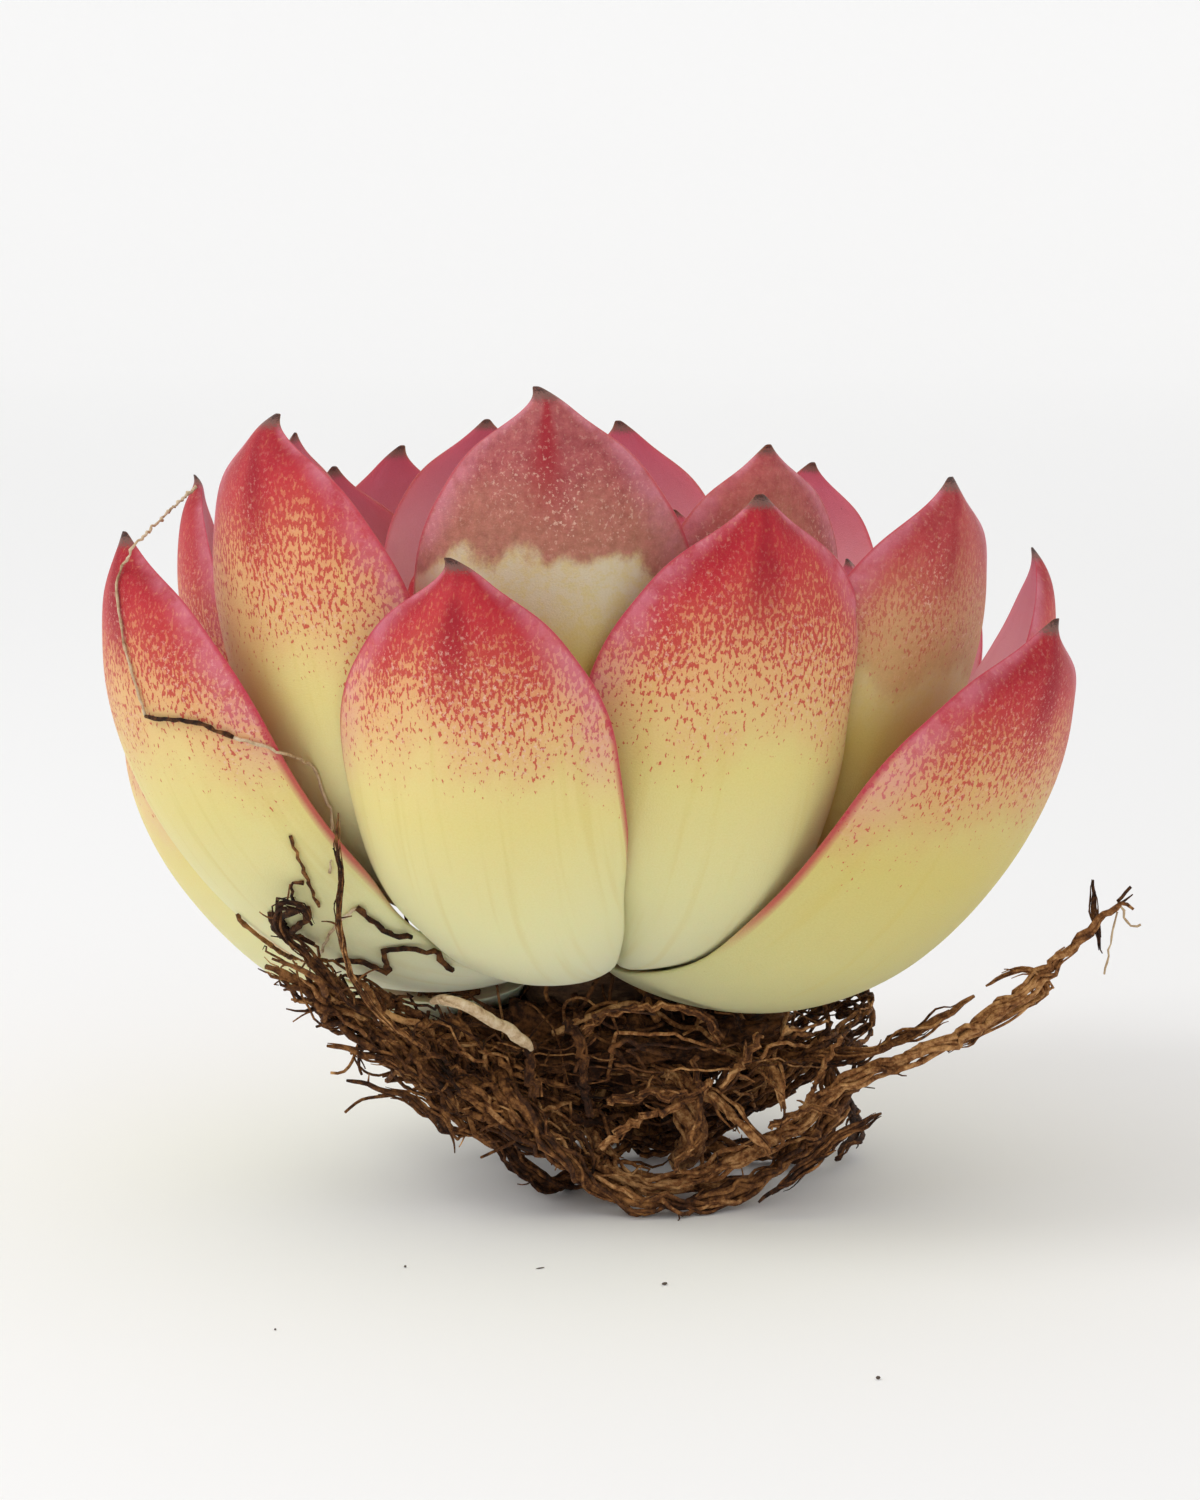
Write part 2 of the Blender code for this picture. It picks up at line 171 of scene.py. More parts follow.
bpy.ops.mesh.primitive_uv_sphere_add(segments=AROUND, ring_count=ROWS + 1, radius=1.0)
blank = bpy.context.object
blank.name = "leaf_blank"
ball = np.array([v.co[:] for v in blank.data.vertices])
row = np.round(np.arccos(np.clip(-ball[:, 2], -1, 1)) / math.pi * (ROWS + 1)).astype(int)
pole = (row == 0) | (row == ROWS + 1)
share = np.clip((row - 1) / (ROWS - 1), 0.0, 1.0)
blank_t = 1.0 - (1.0 - share) ** TIP_CROWDING
flat = np.hypot(ball[:, 0], ball[:, 1])
flat[pole] = 1.0
across = np.where(pole, 0.0, ball[:, 0] / flat)
facing = np.where(pole, 0.0, ball[:, 1] / flat)
power = smooth_through([(0.0, 0.85), (0.7, 0.85), (0.93, 1.25), (1.03, 0.6)], blank_t)
swell = (1.0 - np.minimum(1.0, across**2)) ** power
depth = smooth_through(PLUMPNESS, blank_t)
blank_across = across * smooth_through(OUTLINE, blank_t)
blank_out = depth * swell * np.where(facing > 0.0, 0.12, -0.72)
blank_out[row == 0] = -0.1
blank_side = np.sign(np.round(facing, 4)) * swell
blank_edge = across
blank_core = np.stack([0.5 * blank_across, -0.15 * depth], axis=1)

# ---------------------------------------------------------------------------
# Leaf skin: waxy and slightly translucent. Cream at the base, through soft
# yellow to orange, then red strokes that run together into a crimson point,
# with a lilac bloom at the shoulders and a thin red line along the margins.
# ---------------------------------------------------------------------------


def add_node(tree, kind, settings=None, **values):
    """A node with its settings and socket values; a socket given here is linked."""
    made = tree.nodes.new(kind)
    for name, value in (settings or {}).items():
        setattr(made, name, value)
    for name, value in values.items():
        name = name.replace("_", " ")
        spot = made.inputs[int(name[1:])] if name[0] == "i" and name[1:].isdigit() else made.inputs[name]
        if isinstance(value, bpy.types.NodeSocket):
            tree.links.new(value, spot)
        else:
            spot.default_value = value
    return made


def sum_up(tree, kind, first, second=0.0, third=0.0, limit=False):
    """One step of arithmetic on sockets or numbers."""
    made = add_node(tree, "ShaderNodeMath", {"operation": kind, "use_clamp": limit},
                    i0=first, i1=second, i2=third)
    return made.outputs[0]


def between(tree, value, low, high, start=0.0, end=1.0):
    """A smooth step of a value from one level to another."""
    made = add_node(tree, "ShaderNodeMapRange", {"interpolation_type": "SMOOTHSTEP"},
                    Value=value, From_Min=low, From_Max=high, To_Min=start, To_Max=end)
    return made.outputs["Result"]


def paint(tree, amount, under, over, kind="MIX"):
    """One colour laid over another by an amount."""
    made = add_node(tree, "ShaderNodeMix", {"data_type": "RGBA", "blend_type": kind},
                    i0=amount, i6=under, i7=over)
    return made.outputs[2]


def shades(tree, value, stops):
    """A colour that changes with a value through the given stops."""
    made = add_node(tree, "ShaderNodeValToRGB", Fac=value)
    points = made.color_ramp.elements
    while len(points) < len(stops):
        points.new(0.5)
    for point, (place, colour) in zip(points, stops):
        point.position = place
        point.color = (*colour, 1.0)
    return made.outputs["Color"]


def grain(tree, where, size, detail=2.0, rough=0.5, stretch=(1.0, 1.0, 1.0)):
    """Soft noise: size is the count of blotches to a unit of the coordinates."""
    spread = add_node(tree, "ShaderNodeMapping", Vector=where, Scale=stretch)
    made = add_node(tree, "ShaderNodeTexNoise", Vector=spread.outputs[0], Scale=size, Detail=detail,
                    Roughness=rough)
    return made.outputs["Fac"]


def srgb(red, green, blue):
    """A colour picked on a screen, as the shader wants it."""
    return tuple((c / 255 / 12.92) if c <= 10 else ((c / 255 + 0.055) / 1.055) ** 2.4
                 for c in (red, green, blue))


skin = bpy.data.materials.new("leaf_skin")
skin.use_nodes = True
web = skin.node_tree
skin_shader = web.nodes["Principled BSDF"]
place = add_node(web, "ShaderNodeAttribute", {"attribute_name": "leaf_place"})
spot = add_node(web, "ShaderNodeSeparateXYZ", Vector=place.outputs["Vector"])
tone = add_node(web, "ShaderNodeAttribute", {"attribute_name": "leaf_tone"})
hue = add_node(web, "ShaderNodeSeparateXYZ", Vector=tone.outputs["Vector"])
spread = add_node(web, "ShaderNodeAttribute", {"attribute_name": "skin_mm"}).outputs["Vector"]
edge_way = sum_up(web, "ABSOLUTE", spot.outputs["X"])
up_leaf = spot.outputs["Y"]
blush_line, green_and_shade_share, mauve_share = hue.outputs["X"], hue.outputs["Y"], hue.outputs["Z"]

# How far up the blush a point is: 0 where the strokes begin, 1 at the solid red.
patches = grain(web, spread, 0.16, 3.0, 0.55, (1.0, 0.6, 1.0))
blush_drift = sum_up(web, "MULTIPLY_ADD", patches, 0.26, -0.13)
lower_sides = sum_up(web, "MULTIPLY", sum_up(web, "POWER", edge_way, 2.5), 0.07)
climb = sum_up(web, "ADD", sum_up(web, "SUBTRACT", up_leaf, blush_line),
               sum_up(web, "ADD", blush_drift, lower_sides))
climb = sum_up(web, "DIVIDE", climb, sum_up(web, "SUBTRACT", 0.97, blush_line), limit=True)

flesh = shades(web, up_leaf, [
    (0.0, srgb(230, 231, 207)), (0.22, srgb(233, 233, 199)), (0.42, srgb(233, 229, 173)),
    (0.62, srgb(234, 219, 142)), (0.8, srgb(235, 206, 138)), (1.0, srgb(228, 172, 120)),
])
# Greener, more olive flesh: partly the leaves' own tone, partly painted shade where neighbouring leaves
# shade a leaf.
green_and_shaded_flesh = shades(web, up_leaf, [
    (0.0, srgb(210, 208, 160)), (0.3, srgb(206, 198, 126)), (0.6, srgb(210, 192, 104)),
    (0.85, srgb(210, 184, 122)), (1.0, srgb(200, 150, 110)),
])
ground = paint(web, green_and_shade_share, flesh, green_and_shaded_flesh)
ground = paint(web, between(web, climb, 0.02, 0.5, 0.0, 0.6), ground, (*srgb(226, 152, 104), 1.0))
veins = grain(web, spread, 1.0, 2.0, 0.5, (0.9, 0.05, 1.0))
ground = paint(web, between(web, veins, 0.52, 0.72, 0.0, 0.22), ground, (*srgb(214, 192, 96), 1.0))

strokes = grain(web, spread, 1.0, 2.5, 0.55, (4.0, 1.8, 1.0))
stroke_level = add_node(web, "ShaderNodeMapRange", Value=climb, From_Min=0.0, From_Max=0.75,
                        To_Min=0.70, To_Max=0.42).outputs["Result"]
stroke = sum_up(web, "SUBTRACT", strokes, stroke_level)
stroke = between(web, stroke, -0.018, 0.034)
stroke = sum_up(web, "MULTIPLY", stroke, between(web, climb, 0.0, 0.03))
red = shades(web, climb, [
    (0.0, srgb(206, 74, 54)), (0.4, srgb(196, 46, 46)), (0.75, srgb(184, 26, 44)), (1.0, srgb(172, 14, 40)),
])
stroke_share = sum_up(web, "MULTIPLY_ADD", mauve_share, -0.7, 0.84)
coloured = paint(web, sum_up(web, "MULTIPLY", stroke, stroke_share), ground, red)
solid = sum_up(web, "MULTIPLY", between(web, climb, 0.36, 0.95, 0.0, 0.95),
               between(web, grain(web, spread, 2.6, 3.0, 0.6), 0.30, 0.52, 0.72, 1.0))
crimson = shades(web, climb,
                 [(0.4, srgb(212, 84, 68)), (0.8, srgb(194, 34, 50)), (1.0, srgb(168, 4, 32))])
coloured = paint(web, solid, coloured, crimson)

# The dull mauve-brown of the leaves that stand in the middle of the rosette.
frost = sum_up(web, "MULTIPLY", between(web, up_leaf, 0.60, 0.72), between(web, climb, 0.26, 0.06))
frost = sum_up(web, "MULTIPLY", frost,
               between(web, grain(web, spread, 1.2, 4.0, 0.7), 0.34, 0.62, 0.45, 1.0))
coloured = paint(web, sum_up(web, "MULTIPLY", frost, sum_up(web, "MULTIPLY", mauve_share, 0.75)), coloured,
                 (*srgb(214, 202, 184), 1.0))
veil_line = sum_up(web, "MULTIPLY_ADD", grain(web, spread, 1.0, 4.0, 0.7, (3.0, 2.2, 1.0)), 0.16, climb)
mauve_veil = sum_up(web, "MULTIPLY", mauve_share, between(web, veil_line, 0.16, 0.30, 0.0, 0.84))
mauve = shades(web, grain(web, spread, 1.4, 4.0, 0.7),
               [(0.3, srgb(140, 62, 66)), (0.7, srgb(184, 104, 102))])
coloured = paint(web, mauve_veil, coloured, mauve)

# Keel: a darker red streak down the outer middle, under the point.
streak = sum_up(web, "MULTIPLY", between(web, edge_way, 0.26, 0.02),
                sum_up(web, "MULTIPLY", between(web, up_leaf, 0.78, 0.92), between(web, patches, 0.3, 0.5)))
coloured = paint(web, sum_up(web, "MULTIPLY", streak, 0.85), coloured, (*srgb(158, 4, 30), 1.0))

# Pale specks all over the blush, thickest where its red is thin.
specks = grain(web, spread, 1.0, 4.0, 0.7, (3.2, 2.6, 1.0))
speck = sum_up(web, "MULTIPLY", between(web, specks, 0.54, 0.64),
               between(web, patches, 0.42, 0.62, 0.12, 0.75))
speck = sum_up(web, "MULTIPLY", speck, between(web, climb, 0.12, 0.4))
coloured = paint(web, sum_up(web, "MULTIPLY", speck, between(web, climb, 1.0, 0.6, 0.25, 1.0)), coloured,
                 (*srgb(236, 196, 174), 1.0))

# Lilac bloom on the shoulders, rubbed thin in places.
bloom = sum_up(web, "MULTIPLY", between(web, edge_way, 0.62, 0.97), between(web, up_leaf, 0.58, 0.8))
bloom = sum_up(web, "MULTIPLY", bloom, between(web, grain(web, spread, 0.5, 4.0, 0.6), 0.3, 0.62, 0.25, 1.0))
coloured = paint(web, sum_up(web, "MULTIPLY", bloom, 0.5), coloured, (*srgb(226, 148, 168), 1.0))
margin = sum_up(web, "MULTIPLY", between(web, edge_way, 0.955, 0.985), between(web, up_leaf, 0.3, 0.5))
coloured = paint(web, sum_up(web, "MULTIPLY", margin, 0.85), coloured, (*srgb(186, 44, 70), 1.0))

# Inner face: smooth, unspeckled, pink for most of its length.
inner = shades(web, up_leaf, [
    (0.0, srgb(214, 214, 172)), (0.35, srgb(222, 206, 164)), (0.6, srgb(222, 168, 158)),
    (0.8, srgb(214, 134, 142)), (0.95, srgb(200, 92, 112)), (1.0, srgb(182, 62, 84)),
])
inner = paint(web, between(web, patches, 0.4, 0.65, 0.0, 0.3), inner, (*srgb(206, 110, 130), 1.0))
coloured = paint(web, between(web, spot.outputs["Z"], -0.02, 0.12), coloured, inner)

# Fine grain of the skin, tiny scars and the brown of the dried tip.
fine = grain(web, spread, 7.0, 3.0, 0.7)
grey_grain = shades(web, fine, [(0.3, (0.32, 0.32, 0.32)), (0.7, (0.68, 0.68, 0.68))])
coloured = paint(web, 0.32, coloured, grey_grain, "SOFT_LIGHT")
scars = grain(web, spread, 0.9, 5.0, 0.75)
coloured = paint(web, between(web, scars, 0.70, 0.74, 0.0, 0.7), coloured, (*srgb(128, 74, 52), 1.0))
dried = sum_up(web, "ADD", up_leaf, sum_up(web, "MULTIPLY_ADD", fine, 0.03, -0.015))
coloured = paint(web, between(web, dried, 0.974, 0.988), coloured, (*srgb(122, 84, 76), 1.0))
coloured = paint(web, between(web, dried, 0.988, 0.998), coloured, (*srgb(58, 40, 34), 1.0))
web.links.new(coloured, skin_shader.inputs["Base Color"])
skin_rough = between(web, fine, 0.3, 0.7, 0.44, 0.60)
web.links.new(skin_rough, skin_shader.inputs["Roughness"])
pimples = add_node(web, "ShaderNodeBump", Height=fine, Strength=0.4, Distance=0.00018)
ripples = add_node(web, "ShaderNodeBump", Height=patches, Strength=0.5, Distance=0.0006,
                   Normal=pimples.outputs["Normal"])
web.links.new(ripples.outputs["Normal"], skin_shader.inputs["Normal"])
skin_shader.inputs["Specular IOR Level"].default_value = 0.28
skin_shader.inputs["Subsurface Weight"].default_value = 0.22
skin_shader.inputs["Subsurface Radius"].default_value = (1.0, 0.42, 0.22)
skin_shader.inputs["Subsurface Scale"].default_value = 0.0016
skin_shader.inputs["Sheen Weight"].default_value = 0.04
skin_shader.inputs["Sheen Roughness"].default_value = 0.5

# ---------------------------------------------------------------------------
# The rosette: thirty-four leaves in one spiral, the oldest outermost. Each is
# laid along its own curve round the stem, then pressed flat where a
# neighbour leans on it.
# ---------------------------------------------------------------------------
ROSETTE = np.array([-2.1, -0.1, 0.0])
LEAVES = 34
FIRST_AZIMUTH = -159.5
GOLDEN_ANGLE = 137.508
BY_AGE = {
    "tip_radius": [(0, 40), (6, 36), (14, 30), (20, 22), (26, 14), (33, 3)],
    "tip_height": [(0, 54), (8, 62), (14, 62), (20, 54), (26, 51), (33, 46)],
    "base_radius": [(0, 7.0), (20, 5.0), (33, 1.2)],
    "base_height": [(0, 20.5), (8, 24), (20, 31), (33, 38)],
    "width": [(0, 22.5), (15, 22), (19, 18), (25, 12), (33, 4.5)],
    "thickness": [(0, 6.8), (14, 5.8), (20, 4.2), (33, 2.0)],
    "base_slope": [(0, -12), (6, -2), (12, 12), (20, 35), (33, 70)],
    "tip_slope": [(0, 88), (14, 96), (33, 95)],
}
OFF_THE_SPIRAL = {
    0: (-150.6, 41.0, 56.1, 0.0), 1: (-36, 41.9, 49.5, 2.6), 2: (117, 39.0, 58.5, 0.0),
    3: (-106.5, 36.4, 55.6, 1.0), 4: (37, 38.0, 52.0, 0.0), 5: (165, 38.2, 44.6, 0.0),
    6: (-69.8, 32.4, 59.8, 1.8), 7: (85, 34.0, 60.8, 0.0), 8: (-133.5, 33.0, 65.3, -2.6),
    9: (2, 36.5, 52.6, 0.0), 10: (133, 33.0, 57.5, 0.0), 11: (-96.5, 27.0, 67.6, 0.0),
    12: (50, 29.5, 58.0, 0.0), 13: (-176, 31.5, 58.9, -1.0), 14: (-42, 33.4, 60.1, 4.8),
    15: (110, 27.0, 61.5, 0.0), 16: (-120, 17.5, 52.0, 0.0), 17: (20, 23.0, 51.0, 0.0),
    18: (158, 26.8, 61.5, 0.0), 19: (-61, 25.2, 62.9, 1.5), 23: (122, 18.0, 54.0, 0.0),
}
OWN_SHAPE = {
    0: {"width": 24.4, "roll": -0.05, "tip_slope": 82},
    1: {"width": 25.4, "base_height": 19.5, "base_slope": -14, "tip_slope": 74, "roll": 0.11},
    3: {"width": 23.0, "roll": 0.02}, 4: {"width": 21.5},
    5: {"base_height": 17.3, "base_slope": -25, "tip_slope": 96},
    6: {"width": 24.4, "base_height": 22.0, "base_slope": -6}, 8: {"width": 24.6},
    9: {"width": 20.0}, 11: {"width": 22.8}, 13: {"width": 20.5},
    14: {"width": 24.6, "base_height": 23.5, "base_radius": 5.8, "base_slope": 3, "tip_slope": 86},
    16: {"width": 17.5}, 17: {"width": 17.0}, 21: {"tip_radius": 15.0, "tip_height": 49.0},
}
# Where the blush begins, the share of the greener flesh, which is partly painted shade, and the share of
# mauve.
TONES = {
    0: (0.64, 0.0, 0.0), 1: (0.62, 0.7, 0.05), 3: (0.67, 0.0, 0.0), 6: (0.585, 0.25, 0.0),
    8: (0.60, 0.0, 0.0), 9: (0.60, 0.3, 0.1), 11: (0.72, 1.0, 0.95), 13: (0.48, 0.0, 0.0),
    14: (0.66, 0.9, 0.35), 19: (0.66, 0.5, 0.8), 5: (0.72, 0.0, 0.0),
}


def leaf_form(number):
    """The measures of one leaf, in mm and degrees."""
    form = {name: float(np.interp(number, *np.array(points, float).T))
            for name, points in BY_AGE.items()}
    form.update(azimuth=FIRST_AZIMUTH + GOLDEN_ANGLE * number, roll=0.02, lean=0.0)
    if number in OFF_THE_SPIRAL:
        form.update(zip(("azimuth", "tip_radius", "tip_height", "lean"), OFF_THE_SPIRAL[number]))
    form.update(OWN_SHAPE.get(number, {}))
    return form


def leaf_curve(form):
    """The leaf's middle line: share of length, radius, height and slope, and its length."""
    start = np.array([form["base_radius"], form["base_height"]])
    end = np.array([form["tip_radius"], form["tip_height"]])
    chord = np.linalg.norm(end - start)
    low, high = math.radians(form["base_slope"]), math.radians(form["tip_slope"])
    leave = start + 0.35 * chord * np.array([math.cos(low), math.sin(low)])
    arrive = end - 0.40 * chord * np.array([math.cos(high), math.sin(high)])
    u = np.linspace(0.0, 1.0, 121)[:, None]
    v = 1.0 - u
    line = v**3 * start + 3 * v * v * u * leave + 3 * v * u * u * arrive + u**3 * end
    way = v * v * (leave - start) + 2 * v * u * (arrive - leave) + u * u * (end - arrive)
    run = np.concatenate([[0.0], np.cumsum(np.linalg.norm(np.diff(line, axis=0), axis=1))])
    return run / run[-1], line[:, 0], line[:, 1], np.arctan2(way[:, 1], way[:, 0]), run[-1]


def lay_on_curve(form, curve, t, across_mm, out_mm):
    """Points of the leaf in the plant's frame, in metres."""
    shares, radii, heights, slopes, length = curve
    point_mm = np.maximum(t - 0.975, 0.0) * length
    radius = np.interp(t, shares, radii)
    slope = np.interp(t, shares, slopes)
    height = np.interp(t, shares, heights)
    out_mm = out_mm - form["roll"] * across_mm
    angle = across_mm / np.maximum(radius, 5.0)
    reach = radius - out_mm * np.sin(slope)
    x = reach * np.cos(angle) + form["hook_out"] * point_mm**1.5
    y = reach * np.sin(angle) + form["lean"] * t * t + form["hook_side"] * point_mm**1.5
    turn = math.radians(form["azimuth"])
    return np.stack([x * math.cos(turn) - y * math.sin(turn) + ROSETTE[0],
                     x * math.sin(turn) + y * math.cos(turn) + ROSETTE[1],
                     height + out_mm * np.cos(slope)], axis=1) * MM


def is_inside(tree, point):
    """Whether a point is in a closed body: a line from it crosses an odd count of walls."""
    way = Vector((0.31, 0.17, 0.93)).normalized()
    walls = 0
    hit = tree.ray_cast(point, way)[0]
    while hit is not None:
        walls += 1
        hit = tree.ray_cast(hit + way * 1e-6, way)[0]
    return walls % 2 == 1


def way_out(tree, point, room, search=2.6 * MM):
    """The shortest move that takes a point this far clear of a body, or None."""
    hit, _, _, distance = tree.find_nearest(point, search)
    if hit is None or distance < 1e-7:
        return None
    if is_inside(tree, point):
        return (hit - point) * (1.0 + room / distance)
    if distance < room:
        return (point - hit) * (room / distance - 1.0)
    return None


faces = [tuple(face.vertices) for face in blank.data.polygons]
luck = random.Random(34)
forms, leaf_points, leaf_cores = [], [], []
for number in range(LEAVES):
    form = leaf_form(number)
    form.update(hook_out=luck.uniform(-0.5, 0.7), hook_side=luck.uniform(-0.8, 0.8))
    curve = leaf_curve(form)
    form["length"] = curve[4]
    phase = [luck.uniform(0, FULL_TURN) for _ in range(3)]
    half = 0.5 * form["width"]
    across_mm = blank_across * half * (1 + 0.012 * np.sin(9 * blank_t + phase[0]))
    sway = 0.16 * np.sin(7.5 * blank_t + phase[1]) + 0.12 * np.sin(3.2 * blank_edge + phase[2])
    calm_tip = np.minimum(1.0, 4 * (1.02 - blank_t))
    out_mm = blank_out * form["thickness"] + sway * np.minimum(1.0, form["width"] / 20) * calm_tip
    leaf_points.append(lay_on_curve(form, curve, blank_t, across_mm, out_mm))
    leaf_cores.append(lay_on_curve(form, curve, blank_t, blank_core[:, 0] * half,
                                   blank_core[:, 1] * form["thickness"]))
    forms.append(form)

boxes = [(points.min(axis=0), points.max(axis=0)) for points in leaf_points]
leaning = [(i, j) for i in range(LEAVES) for j in range(LEAVES) if i != j
           and np.all(boxes[i][0] < boxes[j][1]) and np.all(boxes[j][0] < boxes[i][1])]
for _ in range(5):
    trees = [BVHTree.FromPolygons(points.tolist(), faces) for points in leaf_points]
    for i, j in leaning:
        near = np.all((leaf_points[i] > boxes[j][0]) & (leaf_points[i] < boxes[j][1]), axis=1)
        for k in np.flatnonzero(near):
            point = Vector(leaf_points[i][k])
            move = way_out(trees[j], point, 0.3 * MM)
            inward = Vector(leaf_cores[i][k]) - point
            if move is not None and inward.length > 0:
                step = min(0.7 * move.length, 0.5 * inward.length)
                leaf_points[i][k] = point + inward.normalized() * step

leaf_trees = [BVHTree.FromPolygons(points.tolist(), faces) for points in leaf_points]
for number, form in enumerate(forms):
    leaf = bpy.data.objects.new(f"blade_{number + 1:02d}", blank.data.copy())
    bpy.context.scene.collection.objects.link(leaf)
    leaf.data.vertices.foreach_set("co", leaf_points[number].ravel())
    skin_mm = np.stack([blank_across * 0.5 * form["width"] + 40.0 * number, blank_t * form["length"],
                        np.where(blank_side > 0, 6.0, 0.0) * np.abs(blank_side) + 17.0 * number], axis=1)
    usual_tone = (0.55 - 0.004 * number, 0.15, 0.0)
    for name, values in (
        ("leaf_place", np.stack([blank_edge, blank_t, blank_side], axis=1)),
        ("skin_mm", skin_mm),
        ("leaf_tone", np.tile(TONES.get(number, usual_tone), len(blank_t))),
    ):
        kept = leaf.data.attributes.new(name, "FLOAT_VECTOR", "POINT")
        kept.data.foreach_set("vector", values.ravel())
    leaf.data.materials.clear()
    leaf.data.materials.append(skin)
    bpy.ops.object.select_all(action="DESELECT")
    leaf.select_set(True)
    bpy.context.view_layer.objects.active = leaf
    rounding = leaf.modifiers.new("rounding", "SUBSURF")
    rounding.levels = rounding.render_levels = 2 if number < 20 else 1
    bpy.ops.object.modifier_apply(modifier="rounding")
    bpy.ops.object.mode_set(mode="EDIT")
    bpy.ops.mesh.select_all(action="SELECT")
    bpy.ops.mesh.normals_make_consistent(inside=False)
    bpy.ops.object.mode_set(mode="OBJECT")
    bpy.ops.object.shade_smooth()
    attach(leaf, "root")
    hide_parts(f"leaf_{number + 1:02d}")
bpy.data.objects.remove(blank, do_unlink=True)

# ---------------------------------------------------------------------------
# Stem: short and woody, ringed by the scars of shed leaves, pale where the
# living leaves join it and brown below.
# ---------------------------------------------------------------------------
bpy.ops.mesh.primitive_uv_sphere_add(segments=48, ring_count=40, radius=1.0)
stem = bpy.context.object
stem.name = "woody_stem"
STEM_FOOT = 10.8
STEM_LENGTH = 24.8
stem_profile = [(STEM_FOOT, 0.0), (11.3, 2.6), (12.8, 4.4), (15.5, 5.4), (19.0, 5.8), (23.0, 5.2),
                (30.0, 3.9), (34.0, 1.9), (35.6, 0.0)]
for vertex in stem.data.vertices:
    height = STEM_FOOT + STEM_LENGTH * math.acos(max(-1.0, min(1.0, -vertex.co.z))) / math.pi
    radius = float(smooth_through(stem_profile, np.array([height]))[0])
    around = math.atan2(vertex.co.y, vertex.co.x)
    radius *= 1.0 + 0.05 * math.sin(3 * around + height) + 0.035 * math.sin(2.6 * height + around)
    rough = noise.noise(Vector((2 * math.cos(around), 2 * math.sin(around), 0.5 * height)))
    radius *= 1.0 + 0.10 * rough
    vertex.co = Vector((radius * math.cos(around) + ROSETTE[0], radius * math.sin(around) + ROSETTE[1],
                        height)) * MM
bpy.ops.object.shade_smooth()
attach(stem, "root")
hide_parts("stem")

cork = bpy.data.materials.new("stem_cork")
cork.use_nodes = True
web = cork.node_tree
cork_shader = web.nodes["Principled BSDF"]
where = add_node(web, "ShaderNodeTexCoord").outputs["Object"]
high = add_node(web, "ShaderNodeSeparateXYZ", Vector=where).outputs["Z"]
rings = grain(web, where, 700.0, 4.0, 0.7, (1.0, 1.0, 2.6))
age = between(web, sum_up(web, "ADD", high, sum_up(web, "MULTIPLY", rings, 0.004)), 0.022, 0.030)
bark = shades(web, rings, [(0.3, srgb(58, 38, 26)), (0.55, srgb(104, 74, 50)), (0.75, srgb(146, 116, 82))])
web.links.new(paint(web, age, bark, (*srgb(206, 202, 150), 1.0)), cork_shader.inputs["Base Color"])
cork_shader.inputs["Roughness"].default_value = 0.85
web.links.new(add_node(web, "ShaderNodeBump", Height=rings, Strength=0.8, Distance=0.0005).outputs["Normal"],
              cork_shader.inputs["Normal"])
stem.data.materials.append(cork)

# ---------------------------------------------------------------------------
# Roots: dry and wiry. Each thick one is a bundle of split, twisted fibres
# round a core, with broken side rootlets; they make an open bowl that the
# plant stands on.
# ---------------------------------------------------------------------------
ROOT_SHADES = {
    "bark_dark": [(0.38, (23, 11, 5)), (0.48, (59, 32, 15)), (0.62, (126, 81, 43))],
    "bark_brown": [(0.38, (39, 20, 9)), (0.48, (94, 56, 28)), (0.62, (172, 119, 68))],
    "bark_tan": [(0.38, (62, 33, 15)), (0.48, (140, 91, 50)), (0.62, (214, 164, 108))],
    "bark_cream": [(0.36, (150, 116, 82)), (0.5, (204, 178, 142)), (0.62, (226, 208, 178))],
}
root_barks = []
for name, tones in ROOT_SHADES.items():
    bark_skin = bpy.data.materials.new(name)
    bark_skin.use_nodes = True
    web = bark_skin.node_tree
    shader = web.nodes["Principled BSDF"]
    where = add_node(web, "ShaderNodeTexCoord").outputs["Object"]
    flecks = grain(web, where, 1500.0, 5.0, 0.72)
    patch = grain(web, where, 260.0, 3.0, 0.6)
    mixed = sum_up(web, "ADD", sum_up(web, "MULTIPLY", flecks, 0.6), sum_up(web, "MULTIPLY", patch, 0.4))
    web.links.new(shades(web, mixed, [(at, srgb(*tone)) for at, tone in tones]), shader.inputs["Base Color"])
    shader.inputs["Roughness"].default_value = 0.82
    shader.inputs["Specular IOR Level"].default_value = 0.25
    bump = add_node(web, "ShaderNodeBump", Height=flecks, Strength=0.9, Distance=0.00025)
    web.links.new(bump.outputs["Normal"], shader.inputs["Normal"])
    root_barks.append(bark_skin)
CREAM = list(ROOT_SHADES).index("bark_cream")

